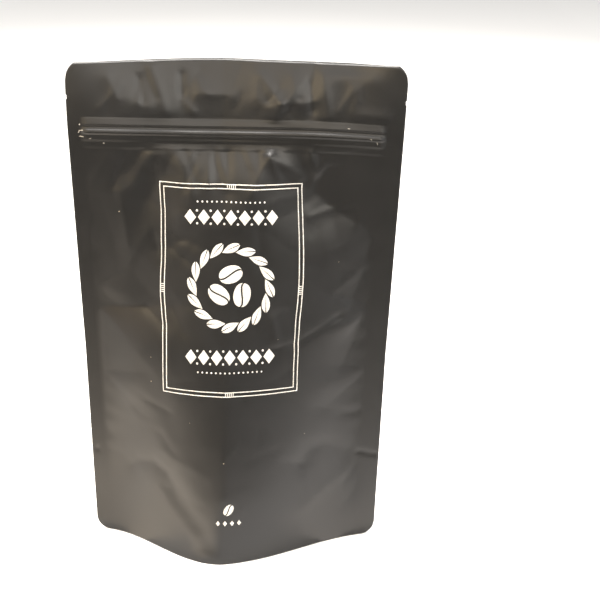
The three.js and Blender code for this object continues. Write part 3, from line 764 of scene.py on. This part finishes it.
def repeat_tree(name, on_ring):
    """Copies of a motif in a row along x, or round a ring with their feet on it."""
    tree = bpy.data.node_groups.new(name, "GeometryNodeTree")
    for label, kind in (("Motif", "Object"), ("Count", "Int"), ("Pitch", "Float"), ("Lean", "Float")):
        tree.interface.new_socket(label, in_out="INPUT", socket_type="NodeSocket" + kind)
    tree.interface.new_socket("Geometry", in_out="OUTPUT", socket_type="NodeSocketGeometry")
    given = add(tree, "NodeGroupInput").outputs
    motif = add(tree, "GeometryNodeObjectInfo", Object=given["Motif"])
    index = add(tree, "GeometryNodeInputIndex").outputs[0]
    if on_ring:
        path = add(tree, "GeometryNodeMeshCircle", Vertices=given["Count"], Radius=given["Pitch"])
        step = add(tree, "ShaderNodeMath", {"operation": "DIVIDE"}, _0=2 * math.pi, _1=given["Count"])
        angle = add(tree, "ShaderNodeMath", {"operation": "MULTIPLY_ADD"}, _0=index, _1=step.outputs[0],
                    _2=given["Lean"]).outputs[0]
    else:
        gaps = add(tree, "ShaderNodeMath", {"operation": "SUBTRACT"}, _0=given["Count"], _1=1.0)
        half = add(tree, "ShaderNodeMath", {"operation": "MULTIPLY"}, _0=gaps.outputs[0], _1=-0.5)
        start = add(tree, "ShaderNodeMath", {"operation": "MULTIPLY"}, _0=half.outputs[0], _1=given["Pitch"])
        path = add(tree, "GeometryNodeMeshLine", Count=given["Count"],
                   Start_Location=add(tree, "ShaderNodeCombineXYZ", X=start.outputs[0]).outputs[0],
                   Offset=add(tree, "ShaderNodeCombineXYZ", X=given["Pitch"]).outputs[0])
        angle = given["Lean"]
    turn = add(tree, "ShaderNodeCombineXYZ", Z=angle)
    copies = add(tree, "GeometryNodeInstanceOnPoints", Points=path.outputs[0],
                 Instance=motif.outputs["Geometry"], Rotation=turn.outputs[0])
    real = add(tree, "GeometryNodeRealizeInstances", Geometry=copies.outputs[0])
    inked = add(tree, "GeometryNodeSetMaterial", Geometry=real.outputs[0], Material=WHITE_INK)
    add(tree, "NodeGroupOutput", Geometry=inked.outputs[0])
    return tree


IN_A_ROW = repeat_tree("motifs_in_a_row", False)
IN_A_RING = repeat_tree("motifs_in_a_ring", True)


def repeated(tree, outlines, count, pitch, lean=0.0):
    """The flat mesh of a motif repeated by a tree. Pitch is the spacing, or the ring's radius."""
    motif = bpy.data.objects.new("motif", flat_mesh("motif", outlines))
    carrier = new_object("carrier", bpy.data.meshes.new("carrier"))
    maker = carrier.modifiers.new("repeat", "NODES")
    maker.node_group = tree
    values = {"Motif": motif, "Count": count, "Pitch": pitch * MM, "Lean": lean}
    for item in tree.interface.items_tree:
        if item.in_out == "INPUT":
            maker[item.identifier] = values[item.name]
    seen = bpy.context.evaluated_depsgraph_get()
    seen.update()
    mesh = bpy.data.meshes.new_from_object(carrier.evaluated_get(seen))
    bpy.data.objects.remove(carrier)
    bpy.data.objects.remove(motif)
    return mesh


def placed(mesh, x, z, turn=0.0):
    mesh.transform(Matrix.Translation((x * MM, z * MM, 0)) @ Matrix.Rotation(turn, 4, "Z"))
    return mesh


def printed(name, meshes, material=WHITE_INK):
    """Flat print laid on the film as one piece: cut fine, bent over the film, with its thickness."""
    sheet = bmesh.new()
    for mesh in meshes:
        sheet.from_mesh(mesh)
    for axis, normal in enumerate((Vector((1, 0, 0)), Vector((0, 1, 0)))):
        places = [vert.co[axis] for vert in sheet.verts]
        for place in np.arange(min(places), max(places), SMALLEST_PATCH * MM)[1:]:
            everything = sheet.verts[:] + sheet.edges[:] + sheet.faces[:]
            bmesh.ops.bisect_plane(sheet, geom=everything, plane_co=normal * place, plane_no=normal)
    flat = np.array([vert.co[:2] for vert in sheet.verts]) / MM
    for vert, place in zip(sheet.verts, on_film(flat, INK_PROUD)):
        vert.co = place
    mesh = bpy.data.meshes.new(name)
    sheet.to_mesh(mesh)
    sheet.free()
    mesh.materials.clear()
    mesh.materials.append(material)
    mesh.shade_smooth()
    piece = new_object(name, mesh)
    thicken(piece, INK)
    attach(piece, "root")


def double_rule():
    parts = [flat_mesh("rule", hollow_frame(FRAME_HALF_WIDTH - inset, FRAME_LOW + inset,
                                            FRAME_HIGH - inset, RULE)) for inset in (0, RULE_PITCH)]
    tick = [bar(-TICK / 2, -RULE_PITCH / 2, TICK / 2, RULE_PITCH / 2)]
    inset, middle = (RULE + RULE_PITCH) / 2, (FRAME_LOW + FRAME_HIGH) / 2
    for x, z, turn in ((0, FRAME_LOW + inset, 0), (0, FRAME_HIGH - inset, 0),
                       (inset - FRAME_HALF_WIDTH, middle, math.pi / 2),
                       (FRAME_HALF_WIDTH - inset, middle, math.pi / 2)):
        parts.append(placed(repeated(IN_A_ROW, tick, TICKS, TICK_PITCH), x, z, turn))
    return parts


printed("print_frame", double_rule())

EMBLEM_Z = 137
LEAVES, RING_RADIUS, LEAF_LEAN = 16, 18.5, 0.45
LEAF_LENGTH, LEAF_WIDTH, MIDRIB = 9.5, 3.8, 0.5
BEAN_LENGTH, BEAN_WIDTH, GROOVE, GROOVE_SWING = 11.5, 8.2, 0.8, 0.9
BEANS_OUT, BEAN_LEAN = 6.4, math.radians(20)
leaves = repeated(IN_A_RING, leaf_outline(LEAF_LENGTH, LEAF_WIDTH, MIDRIB), LEAVES, RING_RADIUS, LEAF_LEAN)
emblem = [placed(leaves, 0, EMBLEM_Z)]
for degrees in (90, 210, 330):
    angle = math.radians(degrees)
    bean = flat_mesh("bean", bean_outline(BEAN_LENGTH, BEAN_WIDTH, GROOVE, GROOVE_SWING))
    x, z = BEANS_OUT * math.cos(angle), EMBLEM_Z + BEANS_OUT * math.sin(angle)
    emblem.append(placed(bean, x, z, angle + BEAN_LEAN))
printed("print_emblem", emblem)

BANDS_OUT = 33                      # the middle line of each band from the emblem's middle
# The rows of each band: how far outside that line, motif, count, pitch
BAND_ROWS = ((0, lozenge(2.9, 3.6), 7, 6.6), (3.0, disc(0.55), 6, 6.6), (-3.0, disc(0.55), 6, 6.6),
             (7.2, disc(0.45), 15, 2.3))
bands = [placed(repeated(IN_A_ROW, [motif], count, pitch), 0, EMBLEM_Z + way * (BANDS_OUT + out))
         for way in (-1, 1) for out, motif, count, pitch in BAND_ROWS]
printed("print_bands", bands)

FOOT_BEAN_Z, FOOT_ROW_Z = 28.6, 21.6
foot_bean = flat_mesh("bean", bean_outline(6.4, 4.4, 0.6, 0.5))
foot_row = repeated(IN_A_ROW, [lozenge(1.1, 1.4)], 4, 3.6)
printed("print_foot", [placed(foot_bean, 0, FOOT_BEAN_Z, math.radians(-35)), placed(foot_row, 0, FOOT_ROW_Z)])

# ---- The wear -----------------------------------------------------------------------------------
# Handling wore the matte film and the black ink off the zip's ends, most of all the left one, down
# to the bright foil. Some specks of coffee dust stick to the film. Each mark is an uneven patch: mm
# from the print's centre line, height, half width, half height, turn in degrees.
WORN_MARKS = [(-70.7, 208.9, 1.3, 0.26, 8), (-71.8, 208.3, 0.3, 0.8, -25), (-70.3, 206.0, 1.6, 0.28, -6),
              (-71.2, 211.6, 0.5, 0.3, 20), (-60.0, 203.1, 0.5, 0.4, 0), (-66.3, 205.2, 0.7, 0.22, 5),
              (66.8, 207.2, 0.6, 0.18, -30), (69.7, 205.2, 0.18, 0.7, 15), (56.0, 211.9, 0.8, 0.16, -8)]
DUST = [(-2.6, 52.6, 0.35, 0.3, 20), (-41.8, 89.0, 0.3, 0.35, 0), (-41.4, 101.5, 0.35, 0.25, 50),
        (-55.5, 170.5, 0.4, 0.25, 30), (24.0, 112.0, 0.2, 0.2, 0), (40.5, 62.0, 0.25, 0.2, 10),
        (-20.5, 71.0, 0.2, 0.25, 0), (52.0, 148.0, 0.2, 0.2, 0)]

PATCH_CORNERS, PATCH_SHARES = 11, (0.6, 1.1)


def uneven_patches(seed, marks):
    rng = random.Random(seed)
    patches = []
    for x, z, half_across, half_up, turn in marks:
        outline = [(half_across * cx * rng.uniform(*PATCH_SHARES),
                    half_up * cz * rng.uniform(*PATCH_SHARES)) for cx, cz in disc(1, PATCH_CORNERS)]
        patches.append(placed(flat_mesh("mark", [outline]), x, z, math.radians(turn)))
    return patches


def plain_material(name, hex_colour, roughness, metallic=0.0):
    material, tree = new_material(name)
    finish_material(tree, add(tree, "ShaderNodeBsdfPrincipled", Base_Color=linear(hex_colour),
                              Roughness=roughness, Metallic=metallic))
    return material


# Bare aluminium under scratched clear film, which glints, and chaff, pale and dull
printed("worn_marks", uneven_patches(5, WORN_MARKS), plain_material("worn_foil", "#a39e94", 0.4, 0.6))
printed("dust", uneven_patches(6, DUST), plain_material("coffee_chaff", "#9a8f7d", 0.8))

# ---- The table, light and room ------------------------------------------------------------------
# A pale table in a bright room, with soft panels round it. Cards that only the film's shine sees lie
# on the table: bright ones near the foot, a dark one beyond them, and a dim one behind, so that the
# film is bright at the base and dark further up.
def stage_plane(name, left, near, right, far, z, material):
    mesh = bpy.data.meshes.new(name)
    corners = [(left, near, z), (right, near, z), (right, far, z), (left, far, z)]
    mesh.from_pydata(corners, [], [(0, 1, 2, 3)])
    mesh.materials.append(material)
    plane = new_object(name, mesh)
    return plane


# A white laminate table top, with no shine to speak of
stage_plane("table", -6, -6, 6, 6, 0, plain_material("pale_table", "#fcfbf9", 0.7))

# Each card: left, near, right and far edge and height in metres, brightness, colour
CARDS = {
    "card_far": (-0.6, -3.0, 0.6, -0.15, 0.0005, 0.02, "#ffffff"),
    "card_behind": (-0.6, 0.15, 0.6, 3.0, 0.0005, 0.15, "#ffffff"),
    "card_left": (-0.6, -0.30, -0.05, -0.15, 0.001, 1.7, "#fff0dc"),
    "card_right": (0.0, -0.30, 0.6, -0.15, 0.001, 1.1, "#fff8ee"),
    "card_left_outer": (-0.6, -0.15, -0.2, -0.006, 0.0005, 1.2, "#fff0dc"),
    "card_left_middle": (-0.2, -0.15, -0.02, -0.085, 0.0005, 1.8, "#fff0dc"),
    "card_right_middle": (-0.02, -0.15, 0.6, -0.095, 0.0005, 1.6, "#fff6ec"),
    "card_left_foot": (-0.2, -0.085, -0.02, -0.04, 0.0005, 4.8, "#fff0dc"),
    "card_right_foot": (-0.02, -0.095, 0.6, -0.04, 0.0005, 2.5, "#fcf6f0"),
    "card_left_corner": (-0.2, -0.04, -0.045, -0.006, 0.0005, 3.4, "#fff0dc"),
    "card_right_corner": (0.045, -0.04, 0.6, -0.006, 0.0005, 3.0, "#fff6ec"),
}
for name, (*edges_and_height, brightness, colour) in CARDS.items():
    material, tree = new_material(name)
    finish_material(tree, add(tree, "ShaderNodeEmission", Color=linear(colour), Strength=brightness))
    card = stage_plane(name, *edges_and_height, material)
    card.visible_camera = False
    card.visible_diffuse = False
    card.visible_shadow = False

# Each light panel: degrees round from the front, degrees up, half its width and height in degrees
# as seen from the pouch, brightness, colour
LIGHT_PANELS = {
    "front_left": (-34, 30, 13, 12, 5.1, "#ffe6bc"),
    "front_right": (30, 30, 14, 12, 5.0, "#fffaf0"),
    "front_high": (3, 38, 14, 9, 3.4, "#fff4e6"),
    "left": (-57, 13, 11, 13, 1.4, "#ffd8a4"),
    "far_left": (-85, 16, 15, 14, 4.6, "#fff8f4"),
    "right": (57, 16, 12, 13, 0.5, "#e8f0ff"),
    "far_right": (85, 16, 15, 14, 5.0, "#eef2ff"),
    "back_left": (-140, 24, 20, 16, 3.5, "#fff8f0"),
    "back_right": (140, 24, 20, 16, 3.5, "#fff8f0"),
    "overhead": (-90, 80, 12, 12, 34.0, "#fffaf4"),
}
LIGHT_DISTANCE = 1.6
LIGHTS_FACE = Vector((0, 0, 0.12))
for name, (round_from_front, up, half_across, half_up, brightness, colour) in LIGHT_PANELS.items():
    turn, tilt = math.radians(round_from_front), math.radians(up)
    way = Vector((math.sin(turn) * math.cos(tilt), -math.cos(turn) * math.cos(tilt), math.sin(tilt)))
    data = bpy.data.lights.new(name, "AREA")
    data.shape = "RECTANGLE"
    data.size = 2 * LIGHT_DISTANCE * math.tan(math.radians(half_across))
    data.size_y = 2 * LIGHT_DISTANCE * math.tan(math.radians(half_up))
    data.energy = brightness * math.pi * data.size * data.size_y
    data.color = linear(colour)[:3]
    lamp = new_object(name, data)
    lamp.location = LIGHTS_FACE + way * LIGHT_DISTANCE
    lamp.rotation_euler = (-way).to_track_quat("-Z", "Y").to_euler()

world = bpy.data.worlds.new("room")
world.use_nodes = True
bpy.context.scene.world = world
tree = world.node_tree
tree.nodes.clear()
parts = add(tree, "ShaderNodeSeparateXYZ", Vector=add(tree, "ShaderNodeTexCoord").outputs["Generated"])
above = add(tree, "ShaderNodeMapRange", {"interpolation_type": "SMOOTHSTEP"}, Value=parts.outputs["Z"],
            From_Min=0.55, From_Max=0.8, To_Min=0.02, To_Max=0.5)
behind = add(tree, "ShaderNodeMapRange", {"interpolation_type": "SMOOTHSTEP"}, Value=parts.outputs["Y"],
             From_Min=0.05, From_Max=0.5)
# The far wall lights the table, and the film's shine sees it much darker
ray = add(tree, "ShaderNodeLightPath").outputs
far_wall = add(tree, "ShaderNodeMix", Factor=ray["Is Glossy Ray"], A=1.25, B=0.3)
glow = add(tree, "ShaderNodeMix", Factor=behind.outputs["Result"], A=above.outputs["Result"],
           B=far_wall.outputs[0])
strength = add(tree, "ShaderNodeMix", Factor=ray["Is Camera Ray"], A=glow.outputs[0], B=1.0)
room = add(tree, "ShaderNodeBackground", Color=linear("#ffffff"), Strength=strength.outputs[0])
add(tree, "ShaderNodeOutputWorld", Surface=room.outputs[0])

bpy.context.scene.view_settings.view_transform = "Standard"
